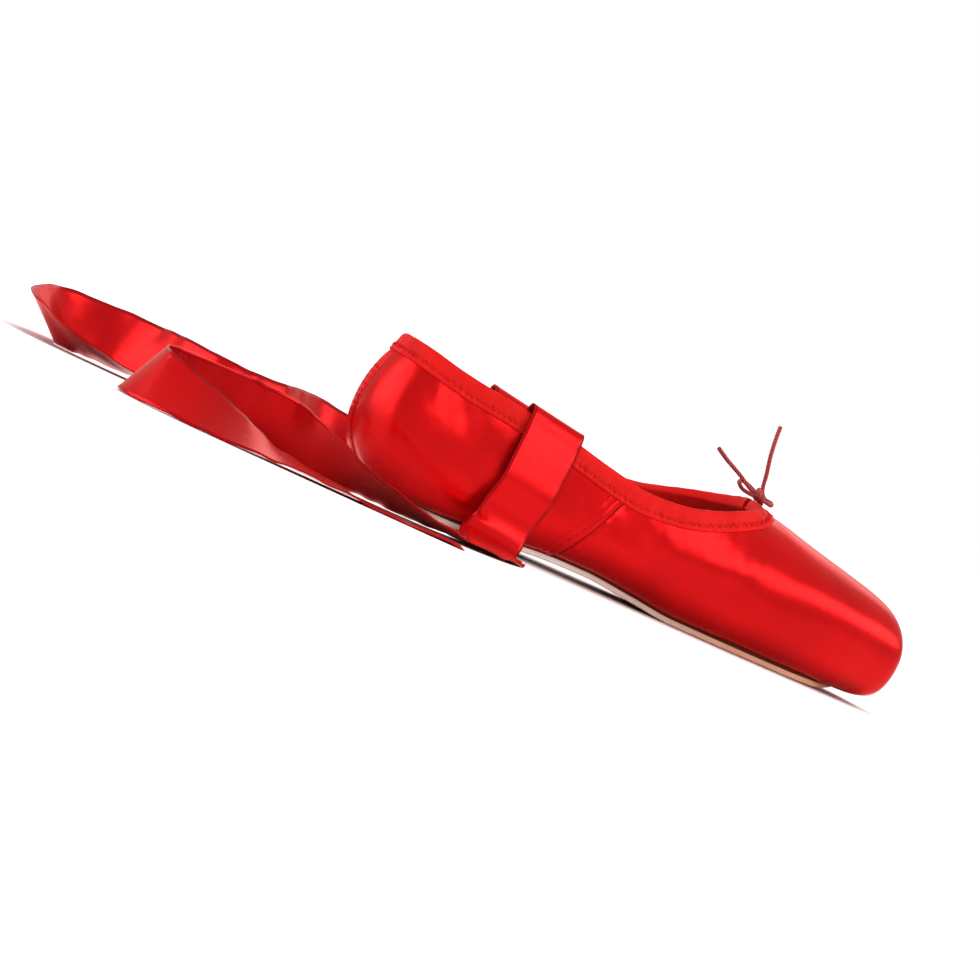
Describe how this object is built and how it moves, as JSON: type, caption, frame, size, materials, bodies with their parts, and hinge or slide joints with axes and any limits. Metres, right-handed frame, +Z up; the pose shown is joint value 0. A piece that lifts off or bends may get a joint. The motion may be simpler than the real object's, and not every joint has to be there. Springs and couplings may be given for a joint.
{
  "type": "pointe shoe",
  "caption": "Satin pointe shoe on a straight last, with leather sole, folded collar binding, elastic drawstring and two loose ankle ribbons.",
  "frame": {"origin": "on the floor, under the middle of the shoe without its ribbons and drawstring", "axes": "+X to the toe, +Y to the side that faces away in the picture, +Z up; the shoe stands on its sole"},
  "size_m": [0.3444, 0.2424, 0.0836],
  "materials": {
    "satin": "glossy red satin with a fine weave",
    "binding": "orange-red folded tape, softly dull",
    "ribbon": "glossy red satin ribbon",
    "sole": "buffed pale tan leather, matt",
    "lining": "matt natural cotton canvas",
    "drawstring": "dark red braided elastic"
  },
  "bodies": {
    "root": {"upper": "satin", "binding": "binding", "outsole": "sole", "insole": "lining", "ribbon_near": "ribbon", "ribbon_far": "ribbon", "drawstring_knot": "drawstring", "drawstring_loop_near": "drawstring", "drawstring_loop_far": "drawstring", "drawstring_end_up": "drawstring", "drawstring_end_back": "drawstring"}
  },
  "joints": []
}
